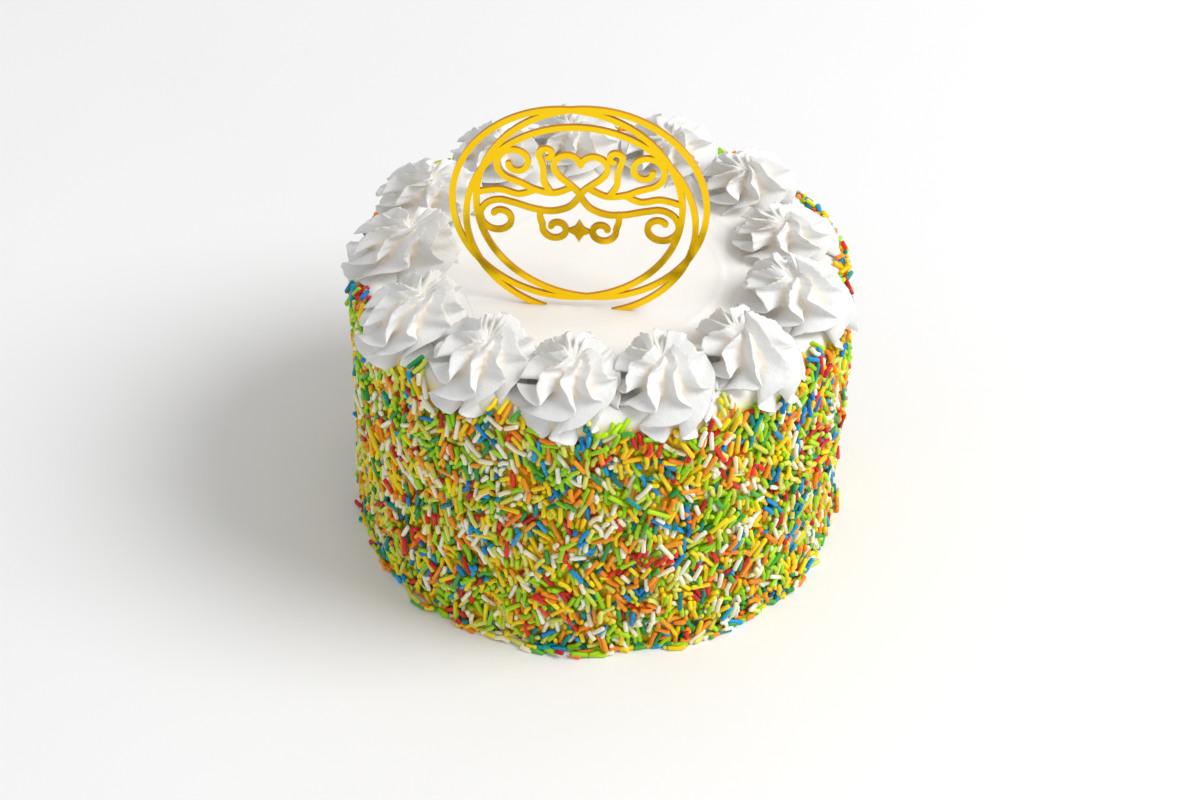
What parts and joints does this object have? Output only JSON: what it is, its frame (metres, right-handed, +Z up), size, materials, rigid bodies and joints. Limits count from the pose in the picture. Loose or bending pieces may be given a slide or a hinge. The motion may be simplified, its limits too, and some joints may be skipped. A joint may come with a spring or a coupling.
{
  "type": "birthday cake",
  "caption": "Round iced birthday cake: side coated in sugar strands, a ring of piped cream rosettes round the flat top, and a gold hoop topper with scrollwork stood in it.",
  "frame": {"origin": "middle of the cake's flat underside, which is its base", "axes": "+Z up out of the cake's top; the topper's sheet is parallel to the XZ plane and faces -Y, the front; +X is to the right seen from the front"},
  "size_m": [0.1778, 0.1764, 0.1845],
  "materials": {
    "icing": "smooth spread cream icing, its side coated in many-coloured sugar strands",
    "piped_cream": "satin piped whipped cream",
    "gold_topper": "glossy gold-yellow acrylic sheet"
  },
  "bodies": {
    "root": {"cake": "icing", "rosette_01": "piped_cream", "rosette_02": "piped_cream", "rosette_03": "piped_cream", "rosette_04": "piped_cream", "rosette_05": "piped_cream", "rosette_06": "piped_cream", "rosette_07": "piped_cream", "rosette_08": "piped_cream", "rosette_09": "piped_cream", "rosette_10": "piped_cream", "rosette_11": "piped_cream", "rosette_12": "piped_cream", "rosette_13": "piped_cream", "topper": "gold_topper"}
  },
  "joints": []
}
